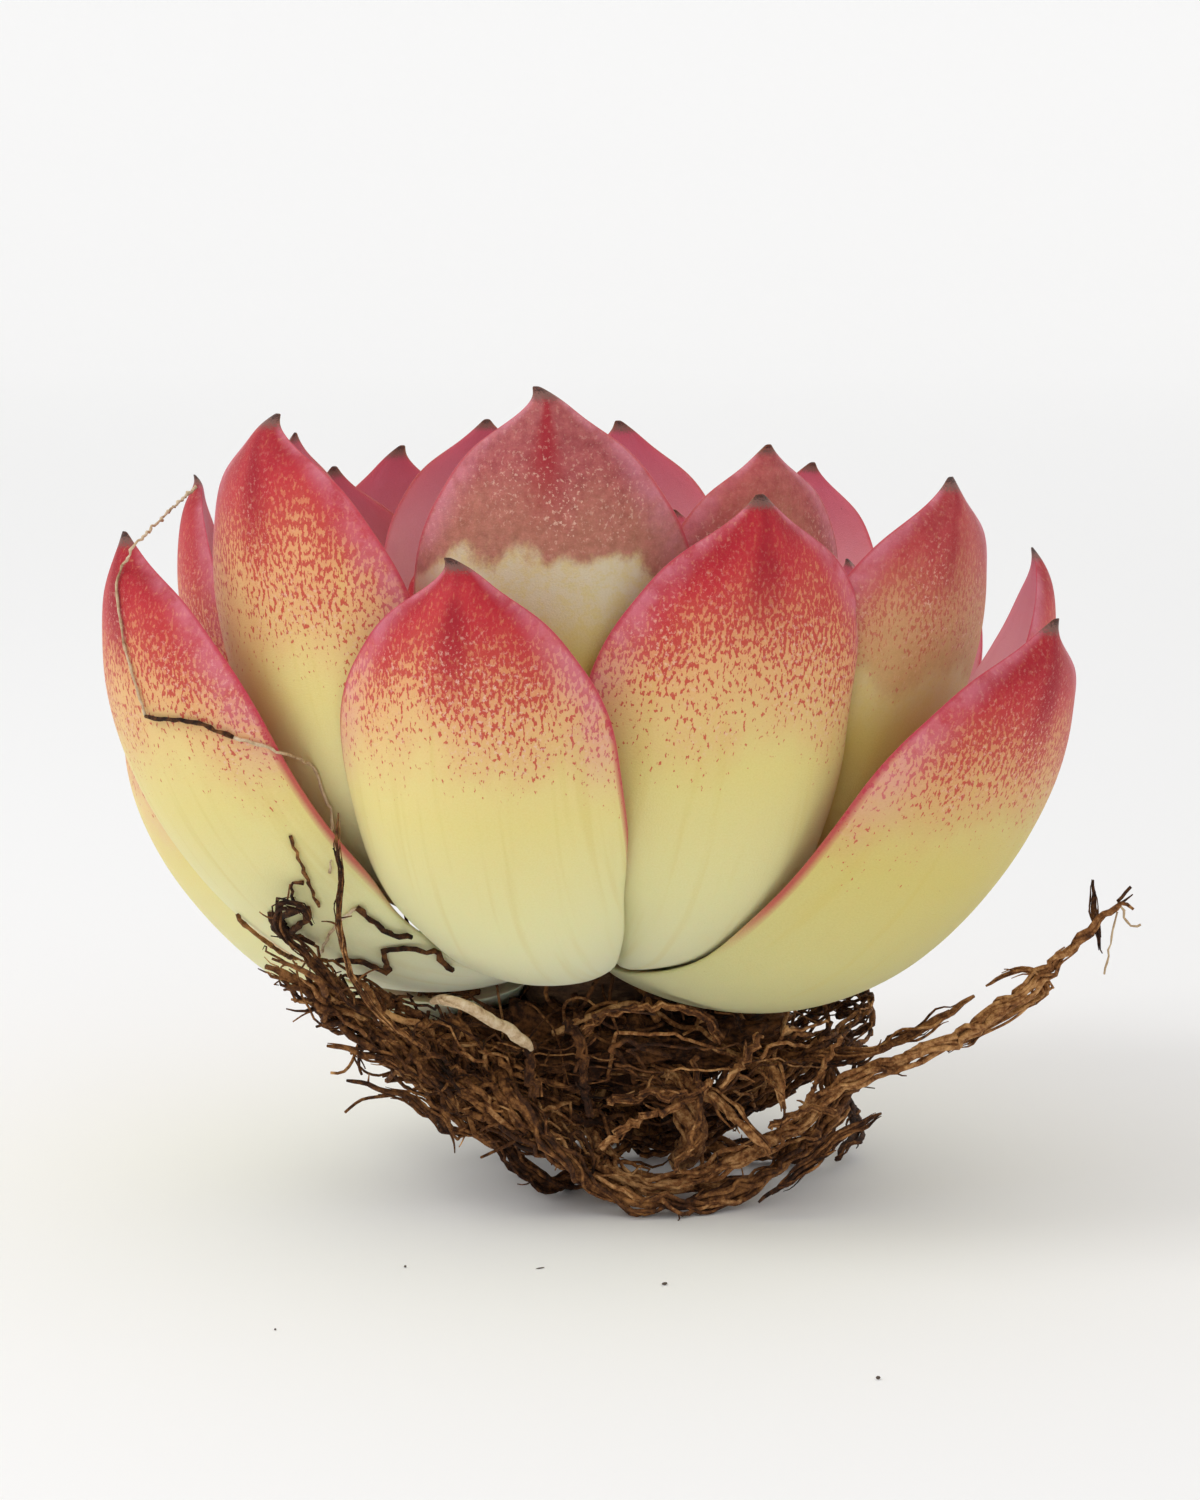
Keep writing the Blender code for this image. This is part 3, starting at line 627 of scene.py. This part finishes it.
ROOT_ROUTES = {
    "root_trunk_left": (0.9, 1, [(-25.2, -22, 22.2), (-22.2, -20.5, 20.4), (-18, -18, 16.6),
                                 (-13.6, -15.5, 13.0), (-8.3, -13.6, 9.3), (-3.0, -12.6, 5.4),
                                 (0.8, -11, 2.6), (5, -9, 1.2), (10, -7.6, 1.0), (15, -5, 1.1)]),
    "root_long": (0.85, 2, [(2, -3, 10.2), (0, -6.5, 6.5), (1.6, -10, 3.3), (5.4, -11.6, 2.0),
                            (10.5, -12.4, 3.9), (16.1, -13, 7.2), (20.5, -14, 10.9), (25.6, -14, 13.0),
                            (29, -14, 14.6), (32.9, -14, 17.2), (35.6, -14, 19.4), (38.4, -14, 22.3),
                            (40.6, -14, 24.6), (42.2, -14, 25.7), (43.2, -14, 25.0)]),
    "root_front_hoop": (0.75, 1, [(-4.5, -5, 11.0), (-7.6, -11, 11.9), (-5.6, -14.4, 9.6),
                                  (-2.0, -14.6, 5.0), (1.5, -14.0, 2.0), (6, -13.8, 0.95),
                                  (12, -11.6, 1.6), (17, -8.6, 4.4), (20.6, -5, 7.0),
                                  (22.6, 0, 9.0), (22, 5, 10.8)]),
    "root_back_hoop": (0.8, 0, [(3, 4, 11.2), (9, 9, 11.2), (14.5, 13, 8.2), (13.5, 13.5, 3),
                                (8, 12, 0.95), (1, 11.5, 0.95), (-3.8, 9.6, 0.95), (-8, 8.6, 4.4),
                                (-11, 7.0, 8.0), (-9.6, 5.2, 10.6)]),
    "root_left_hoop": (0.7, 0, [(-5, -1.6, 10.6), (-12, -1.6, 11.0), (-16.4, -3.4, 11.0),
                                (-13.4, -7.4, 9.0), (-8.2, -9.2, 5.6), (-3.9, -7.6, 1.6),
                                (-0.8, -4.6, 0.95), (2.6, -2.4, 2.6), (3.6, -1.6, 5.4)]),
    "root_right_hoop": (0.8, 0, [(5.4, -0.6, 10.6), (12, 0, 11.2), (19, 2, 9), (20.5, 1.4, 4),
                                 (17, 3, 1.0), (11, 4.8, 0.95), (5, 6.5, 1.3), (-1, 6, 3.4),
                                 (-4.6, 4.4, 7)]),
    "root_front_slant": (0.7, 2, [(0.6, -6.0, 10.9), (4.8, -10.2, 11.4), (9.2, -12.8, 10.2),
                                  (12.6, -15.2, 7.4), (14.4, -15.6, 5.6)]),
    "root_thick": (1.1, 2, [(3.4, -4.4, 9.6), (6.0, -7.6, 10.6), (7.8, -9.2, 8.4), (8.4, -8.8, 5.4),
                            (8.0, -5.6, 3.2), (7.4, -2.4, 1.4)]),
    "root_stub": (0.7, 2, [(9.0, -5.5, 11.9), (13, -10.5, 12.4), (15.2, -13.8, 11.6),
                           (15.4, -14.4, 9.2)]),
    "root_right_branch": (0.6, 1, [(9, -2.6, 12.0), (16, -8.6, 12.2), (20.6, -11.4, 12.6),
                                   (24.7, -11, 13.8), (28.4, -10, 15.6), (31.1, -9, 17.1)]),
    "root_lower_branch": (0.45, 0, [(13.5, -15.0, 1.6), (17.3, -14.6, 4.4), (20.7, -14.0, 7.2),
                                    (23.4, -12.6, 8.2)]),
    "root_curl_upper": (0.5, 1, [(-20.6, -20.4, 15.6), (-16.4, -18.6, 14.2), (-12.4, -14.2, 11.0),
                                 (-8.4, -9.4, 10.2), (-4.6, -6, 9.6)]),
    "root_curl_lower": (0.5, 0, [(-19.2, -18.6, 12.4), (-14.8, -17.4, 11.0), (-12.6, -17.2, 9.4),
                                 (-10.4, -14.2, 7.0), (-7.4, -10.4, 7.4), (-3, -6, 8.6)]),
    "root_knot": (0.42, 0, [(-16.4, -19.4, 17.0), (-19.6, -21.0, 20.2), (-22.2, -21.6, 23.2),
                            (-24.2, -22.0, 25.2), (-24.0, -23.0, 27.2), (-22.4, -23.4, 27.4),
                            (-21.6, -23.0, 25.8)]),
    "root_riser": (0.24, 1, [(-12.6, -18.0, 14.4), (-15.8, -20.6, 17.6), (-18.2, -21.8, 20.8),
                             (-19.2, -23.0, 24.0), (-19.4, -24.4, 27.2), (-19.0, -25.8, 30.2),
                             (-19.3, -26.6, 32.8), (-19.2, -26.2, 35)]),
    "root_pale": (0.5, 3, [(-12.4, -20.0, 19.0), (-10.6, -22.8, 19.8), (-8.2, -22.8, 18.4),
                           (-5.6, -21.2, 16.6), (-4.6, -19.8, 15.0)]),
    "root_back_right": (0.7, 0, [(2, 6.4, 11.4), (5, 13, 11.6), (11, 18, 10.6), (17, 17.6, 8),
                                 (21.6, 12, 4.6), (22.6, 6, 2.4), (20.6, 0.6, 1.2)]),
    "root_back_left": (0.7, 0, [(-2.6, 5.4, 11.0), (-6, 12, 11.6), (-12, 15.4, 10.4),
                                (-15.0, 11.0, 9.0), (-12.4, 5.0, 6.2), (-7.4, 2.6, 2.8),
                                (-2.8, 1.4, 1.0)]),
    "root_tap": (1.0, 1, [(0.4, 0.4, 9.2), (1, 1.4, 7), (4.4, 0.2, 4.8), (8.6, 1.2, 2.6),
                          (13, 0.6, 1.2)]),
    "root_side_loop": (0.4, 2, [(28.8, -11.6, 13.2), (33, -11, 15.6), (36.8, -11.4, 18.4),
                                (35.0, -10.6, 19.6), (32.0, -9.8, 18.2)]),
    "root_end_twig": (0.35, 0, [(40.2, -12.4, 27.4), (40.4, -12.2, 24.8), (40.9, -12.3, 21.6)]),
}


def even_route(points, gap):
    """Points a gap apart, in mm, on a smooth curve through the given ones."""
    points = np.array(points, float)
    ends = np.vstack([2 * points[0] - points[1], points, 2 * points[-1] - points[-2]])
    line = []
    for a, b, c, d in zip(ends, ends[1:], ends[2:], ends[3:]):
        t = np.linspace(0.0, 1.0, 24, endpoint=False)[:, None]
        line.append(0.5 * (2 * b + (c - a) * t + (2 * a - 5 * b + 4 * c - d) * t * t
                           + (3 * b - a - 3 * c + d) * t**3))
    line = np.vstack(line + [points[-1:]])
    run = np.concatenate([[0.0], np.cumsum(np.linalg.norm(np.diff(line, axis=0), axis=1))])
    count = max(3, round(run[-1] / gap) + 1)
    return np.stack([np.interp(np.linspace(0.0, run[-1], count), run, line[:, i]) for i in range(3)], axis=1)


def off_the_leaves(points, room):
    """Move points, in mm from the rosette's axis, clear of the leaves and the table."""
    moved = []
    for point in points:
        spot_here = Vector((point + ROSETTE)) * MM
        for _ in range(4):
            for tree in leaf_trees:
                move = way_out(tree, spot_here, room * MM, 5.0 * MM)
                if move is not None:
                    spot_here = spot_here + move
        spot_here.z = max(spot_here.z, 0.9 * room * MM)
        moved.append(np.array(spot_here) / MM - ROSETTE)
    return np.array(moved)


def new_bundle(name):
    """An empty curve whose splines become one root piece."""
    bundle = bpy.data.curves.new(name, "CURVE")
    bundle.dimensions = "3D"
    bundle.bevel_depth = MM
    bundle.bevel_resolution = 1
    bundle.use_fill_caps = True
    for bark_skin in root_barks:
        bundle.materials.append(bark_skin)
    return bundle


def add_fibre(bundle, points, radii, shade):
    """One fibre through points in mm from the rosette's axis; radii in mm."""
    fibre = bundle.splines.new("POLY")
    fibre.points.add(len(points) - 1)
    radii = np.broadcast_to(radii, len(points))
    for at, point, radius in zip(fibre.points, points, radii):
        at.co = (*((point + ROSETTE) * MM), 1.0)
        at.radius = float(radius)
    fibre.material_index = shade
    fibre.use_smooth = True


def finish_bundle(bundle, nodes):
    """Turn the curve into one closed mesh piece that rides with the plant."""
    piece = bpy.data.objects.new(bundle.name, bundle)
    bpy.context.scene.collection.objects.link(piece)
    bpy.ops.object.select_all(action="DESELECT")
    piece.select_set(True)
    bpy.context.view_layer.objects.active = piece
    bpy.ops.object.convert(target="MESH")
    piece = bpy.context.object
    bpy.ops.object.mode_set(mode="EDIT")
    bpy.ops.mesh.select_all(action="SELECT")
    bpy.ops.mesh.remove_doubles(threshold=1e-7)
    bpy.ops.mesh.normals_make_consistent(inside=False)
    bpy.ops.object.mode_set(mode="OBJECT")
    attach(piece, "root")
    if nodes:
        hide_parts(*nodes)


def twist_round(route, radius, lay, start, luck):
    """A fibre that winds loosely round a root's core."""
    ahead = np.gradient(route, axis=0)
    ahead /= np.linalg.norm(ahead, axis=1)[:, None] + 1e-9
    side = np.cross(ahead, [0.31, 0.17, 0.93])
    side /= np.linalg.norm(side, axis=1)[:, None] + 1e-9
    up = np.cross(ahead, side)
    run = np.arange(len(route)) * np.linalg.norm(route[1] - route[0])
    phase = luck.uniform(0, FULL_TURN)
    turn = start + run * lay + 0.5 * np.sin(run * 0.7 + phase)
    loose = radius * (0.86 + 0.34 * np.sin(run * 0.8 + 2 * phase) + 0.18 * np.sin(run * 1.9 + phase))
    return route + loose[:, None] * (np.cos(turn)[:, None] * side + np.sin(turn)[:, None] * up)


def shiver(count, pace, apart, seed):
    """A small shake in x, y and z for each of a route's points, the same on every run."""
    return np.array([[noise.noise(Vector((pace * k, apart * axis, seed))) for axis in range(3)]
                     for k in range(count)])


def thick_and_thin(count, pace, row, seed):
    """Noise along a route, for its knobs and thin places."""
    return np.array([noise.noise(Vector((pace * k, row, seed))) for k in range(count)])


def narrow_ends(count, start, steps):
    """Shares of a radius that grow from start to 1 over a few points at both ends."""
    return np.minimum(1.0, start + np.minimum(np.arange(count), np.arange(count)[::-1]) / steps)


def wander(start, heading, length, radius, curl, luck, gap=0.6):
    """A thin root that strays from a start, in mm from the rosette's axis."""
    point, way = np.array(start, float), np.array(heading, float)
    way /= np.linalg.norm(way)
    bend = np.array([luck.gauss(0, 1) for _ in range(3)])
    path = [point.copy()]
    for _ in range(max(3, int(length / gap))):
        bend = 0.82 * bend + 0.5 * np.array([luck.gauss(0, 1) for _ in range(3)])
        way = way + curl * gap * bend
        way /= np.linalg.norm(way)
        point = point + way * gap
        point[2] = max(point[2], radius + 0.02)
        path.append(point.copy())
    return np.array(path)


luck = random.Random(21)
main_routes = {}
for name, (radius, shade, points) in ROOT_ROUTES.items():
    route = even_route(points, 0.55)
    kink = shiver(len(route), 0.35, 7.1, 3.3 * radius)
    route = off_the_leaves(route + kink * 0.55 * radius, radius + 0.15)
    main_routes[name] = route
    bundle = new_bundle("fibrous_" + name)
    knobs = thick_and_thin(len(route), 0.6, 11.0, 5.0 * radius)
    taper = narrow_ends(len(route), 0.45, 5.0)
    smooth_bark = name in ("root_pale", "root_thick")
    if name == "root_long":
        taper = taper * np.linspace(0.95, 0.62, len(route))
    core_share, knob_share, strands = (0.94, 0.12, 3) if smooth_bark else (0.50, 0.28, 9)
    add_fibre(bundle, route, radius * core_share * (1 + knob_share * knobs) * taper, shade)
    for k in range(strands):
        start_at = luck.randrange(0, max(1, len(route) // 4))
        stop_at = len(route) - luck.randrange(0, max(1, len(route) // 4))
        strand = twist_round(route[start_at:stop_at], radius * taper[start_at:stop_at],
                             luck.uniform(0.10, 0.34), FULL_TURN * k / 9, luck)
        thin = narrow_ends(len(strand), 0.3, 6.0)
        strand[:, 2] = np.maximum(strand[:, 2], 0.3 * radius)
        bark_pick = min(CREAM - 1, max(0, shade + luck.choice((-1, 0, 0, 1)))) if shade < CREAM else CREAM
        add_fibre(bundle, strand, radius * luck.uniform(0.15, 0.31) * thin, bark_pick)
    for _ in range(0 if smooth_bark else int(len(route) * 0.16)):
        k = luck.randrange(2, len(route) - 1)
        heading = np.array([luck.gauss(0, 1), luck.gauss(0, 1), luck.gauss(0, 0.7)])
        along = route[k] - route[k - 1]
        heading += 1.2 * along / np.linalg.norm(along)
        size = luck.uniform(0.07, 0.16)
        twig = wander(route[k], heading, luck.choice((0.8, 1.2, 1.8, 2.8)), size, 0.5, luck, 0.4)
        add_fibre(bundle, twig, np.linspace(size, 0.05, len(twig)), luck.choice((0, 1, 1, 2)))
    finish_bundle(bundle, [name])

# ---------------------------------------------------------------------------
# Fine roots: the matted back wall of the bowl, a looser front with strands
# that cross it, the mat at the left, the hair-thin root over the left leaf and
# the rootlets under the crown.
# ---------------------------------------------------------------------------
BOWL_MIDDLE = 6.0
BOWL_LEFT, BOWL_RIGHT, BOWL_HALF_DEPTH = 22.0, 17.5, 15.0
BOWL_RIM, BOWL_DROP = 12.4, 11.4
CREEP = 0.7


def bowl_share(x, y):
    """How far out a place is: 0 in the bowl's middle, 1 at its rim."""
    half_width = BOWL_LEFT if x < BOWL_MIDDLE else BOWL_RIGHT
    return math.hypot((x - BOWL_MIDDLE) / half_width, y / BOWL_HALF_DEPTH)


def bowl_height(x, y):
    """Height of the bowl that the roots once filled, in mm."""
    return BOWL_RIM - BOWL_DROP * (1.0 - min(1.0, bowl_share(x, y)) ** 1.2)


def bowl_root(luck, angle, length, radius):
    """A thin root that creeps over the bowl's inner side."""
    spread_out = luck.uniform(0.15, 1.0)
    x = BOWL_MIDDLE + spread_out * math.cos(angle) * (BOWL_LEFT if math.cos(angle) < 0 else BOWL_RIGHT)
    y = BOWL_HALF_DEPTH * spread_out * math.sin(angle)
    way = luck.uniform(0, FULL_TURN)
    turn = luck.gauss(0, 0.09)
    lift = luck.uniform(0.0, 2.2)
    path = []
    for _ in range(int(length / CREEP)):
        way += turn + luck.gauss(0, 0.13)
        x += CREEP * math.cos(way)
        y += CREEP * math.sin(way)
        reach = bowl_share(x, y)
        if reach > 1.0:
            x = BOWL_MIDDLE + (x - BOWL_MIDDLE) / reach
            y /= reach
            way += 0.5
        lift = min(3.0, max(0.0, lift + luck.gauss(0, 0.22)))
        path.append((x, y, max(radius, bowl_height(x, y) + lift)))
    return np.array(path)


for name, count, angles in (("fine_roots_back", 150, (0.15, 3.0)), ("fine_roots_front", 34, (3.1, 6.2))):
    bundle = new_bundle(name)
    for _ in range(count):
        radius = luck.choice((0.11, 0.14, 0.18, 0.24, 0.36))
        path = bowl_root(luck, luck.uniform(*angles), luck.uniform(10, 34), radius)
        size = radius * np.linspace(1.0, 0.5, len(path))
        add_fibre(bundle, path, size, luck.choice((0, 0, 0, 1, 1, 2)))
    finish_bundle(bundle, [])

bundle = new_bundle("left_mat")
trunk = main_routes["root_trunk_left"]
for _ in range(120):
    first = luck.randrange(0, int(len(trunk) * 0.55))
    last = min(len(trunk) - 8, first + luck.randrange(8, 34))
    lie = trunk[first:last].copy()
    if len(lie) < 6:
        continue
    seed_at = luck.uniform(0, 90)
    loose = luck.uniform(0.5, 1.5)
    drift, shake = (
        np.array([[noise.noise(Vector((pace * k, seed_at, 9.0 * axis))) for axis in range(3)]
                  for k in range(len(lie))])
        for pace in (0.16, 0.9)
    )
    rise = max(0.0, luck.uniform(-1.5, 3.6))
    lie += np.array([luck.gauss(0, 0.4), 0.55 * rise, rise]) + 2.6 * loose * drift + 0.5 * shake
    size = luck.choice((0.10, 0.13, 0.17, 0.22, 0.3))
    lie = off_the_leaves(lie, size + 0.05)
    add_fibre(bundle, lie, size * narrow_ends(len(lie), 0.35, 5.0), luck.choice((0, 0, 1, 1, 2)))
for _ in range(26):
    k = luck.randrange(8, int(len(trunk) * 0.6))
    way = (luck.gauss(-0.7, 0.5), luck.gauss(-0.2, 0.5), luck.gauss(0.0, 0.25))
    size = luck.choice((0.10, 0.14, 0.18))
    path = off_the_leaves(wander(trunk[k], way, luck.uniform(1.5, 5.5), size, 0.5, luck, 0.4), size + 0.05)
    add_fibre(bundle, path, size * np.linspace(1.0, 0.6, len(path)), luck.choice((0, 1, 1)))
finish_bundle(bundle, [])

bundle = new_bundle("front_strands")
for points, size, shade in (
    ([(-1.0, -13.6, 14.0), (0.4, -14.2, 16.4), (3.6, -14.4, 17.2), (6.4, -14.2, 17.4), (9.0, -13.8, 16.6),
      (10.4, -13.0, 14.4)], 0.42, 1),
    ([(-2.0, -13.8, 16.2), (-0.7, -14.4, 14.4), (-0.5, -14.8, 11.2), (0.0, -14.8, 8.6)], 0.5, 0),
    ([(-4.6, -14.8, 14.6), (-4.8, -15.4, 12.6), (-4.2, -15.4, 10.6)], 0.5, 0),
    ([(1.4, -14.6, 9.8), (4.4, -15.0, 10.4), (7.2, -15.0, 10.2), (10.0, -14.4, 11.4)], 0.34, 2),
    ([(1.2, -15.2, 6.0), (3.6, -15.2, 8.2), (7.8, -14.8, 9.7), (9.6, -14.2, 11.2)], 0.36, 2),
    ([(6.8, -15.0, 4.2), (8.4, -15.0, 7.4), (8.8, -14.6, 10.6), (8.4, -14.0, 13.2)], 0.34, 1),
    ([(10.6, -14.4, 10.8), (12.0, -14.8, 12.8), (13.6, -14.4, 15.2)], 0.4, 1),
    ([(17.0, -13.6, 8.4), (18.4, -13.4, 11.6), (20.2, -13.2, 14.8)], 0.3, 2),
    ([(14.4, -15.0, 7.6), (17.6, -14.6, 9.2), (19.6, -14.2, 8.8)], 0.3, 1),
):
    path = even_route(points, 0.4)
    path = off_the_leaves(path + 0.5 * shiver(len(path), 0.7, 5.0, size * 40), size + 0.1)
    knobs = 1.0 + 0.5 * thick_and_thin(len(path), 1.1, 3.0, size * 50)
    add_fibre(bundle, path, 0.66 * size * knobs, shade)
    for k in range(4):
        strand = twist_round(path, 0.8 * size, luck.uniform(0.2, 0.5), FULL_TURN / 4 * k, luck)
        strand_size = size * luck.uniform(0.2, 0.36)
        add_fibre(bundle, strand, strand_size, min(2, max(0, shade + luck.choice((-1, 0, 1)))))
    for _ in range(3):
        k = luck.randrange(1, len(path) - 1)
        way = (luck.gauss(0, 1), luck.gauss(0, 0.6), luck.gauss(0, 1))
        twig = wander(path[k], way, luck.uniform(0.8, 2.4), 0.12, 0.5, luck, 0.4)
        add_fibre(bundle, off_the_leaves(twig, 0.15), np.linspace(0.14, 0.06, len(twig)), shade)
finish_bundle(bundle, [])

def laid_on_leaves(places, free_depth):
    """A route through (x, z) places seen from the front, in mm, each resting on the leaf behind it."""
    route = []
    for x, z in places:
        outside = Vector((x + ROSETTE[0], -60.0, z)) * MM
        struck = [tree.ray_cast(outside, Vector((0.0, 1.0, 0.0)))[0] for tree in leaf_trees]
        depths = [hit.y / MM - ROSETTE[1] for hit in struck if hit is not None]
        route.append((x, min(depths, default=free_depth), z))
    return route


bundle = new_bundle("root_hairs")
for places, free_depth, size, shade in (
    ([(-32, 58), (-34, 56), (-36, 53), (-36, 49), (-35, 45), (-34, 42)], -24, 0.11, 3),
    ([(-34, 42), (-30, 42), (-27, 41)], -24, 0.17, 0),
    ([(-27, 41), (-24, 40), (-21, 38), (-20, 35), (-20, 30)], -24, 0.13, 3),
    ([(-23, 33), (-22, 30), (-21, 27)], -23, 0.15, 1),
    ([(-23, 27), (-23, 29), (-22, 29)], -22, 0.15, 0),
    ([(-24, 25), (-24, 26), (-22, 27), (-22, 26), (-23, 25), (-24, 24), (-25, 26)], -20, 0.3, 0),
    ([(-20, 22), (-18, 22), (-16, 21), (-16, 23), (-13, 23), (-11, 21)], -19, 0.24, 0),
    ([(-18, 27), (-16, 25), (-14, 24)], -21, 0.26, 0),
    ([(-22, 21), (-20, 25), (-18, 27)], -20, 0.13, 3),
    ([(-28, 25), (-25, 22), (-23, 19)], -14, 0.2, 1),
    ([(42, 26), (43, 24), (44, 24)], -14, 0.1, 3),
    ([(42, 25), (41, 20)], -14, 0.08, 3),
    ([(42, 26), (43, 27)], -14, 0.14, 0),
):
    path = even_route(laid_on_leaves(places, free_depth), 0.5)
    path = off_the_leaves(path + 0.22 * shiver(len(path), 0.8, 5.0, size * 40), size + 0.05)
    knobs = 1.0 + 0.5 * thick_and_thin(len(path), 1.3, 3.0, size * 50)
    add_fibre(bundle, path, size * knobs, shade)
finish_bundle(bundle, [])

bundle = new_bundle("crown_rootlets")
for _ in range(110):
    angle = luck.uniform(0, FULL_TURN)
    reach = luck.uniform(5.0, 16.5 if math.sin(angle) > -0.4 else 11.0)
    start = (reach * math.cos(angle) + 1.0, reach * math.sin(angle), luck.uniform(11.5, 17.0))
    heading = (luck.gauss(0, 1), luck.gauss(0, 1), luck.gauss(-0.1, 0.35))
    size = luck.choice((0.10, 0.14, 0.18, 0.24, 0.34))
    path = off_the_leaves(wander(start, heading, luck.uniform(6, 18), size, 0.4, luck), size + 0.05)
    add_fibre(bundle, path, size * np.linspace(1.0, 0.5, len(path)), luck.choice((0, 0, 1, 1, 2)))
finish_bundle(bundle, [])

# ---------------------------------------------------------------------------
# Crown mat: dead rootlets and dust felted together under the leaf bases.
# ---------------------------------------------------------------------------
bpy.ops.mesh.primitive_ico_sphere_add(subdivisions=6, radius=1.0)
mat = bpy.context.object
mat.name = "crown_mat"
for vertex in mat.data.vertices:
    ball_way = vertex.co.normalized()
    lump = noise.fractal(ball_way * 3.2, 0.6, 2.1, 5)
    x = 1.5 + 15.0 * ball_way.x * (1 + 0.16 * lump)
    y = 1.0 + 12.5 * ball_way.y * (1 + 0.16 * lump)
    z = 12.2 + 2.6 * ball_way.z * (1 + 0.9 * lump)
    vertex.co = Vector((x + ROSETTE[0], y + ROSETTE[1], z)) * MM
bpy.ops.object.shade_smooth()
mat.data.materials.append(root_barks[0])
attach(mat, "root")
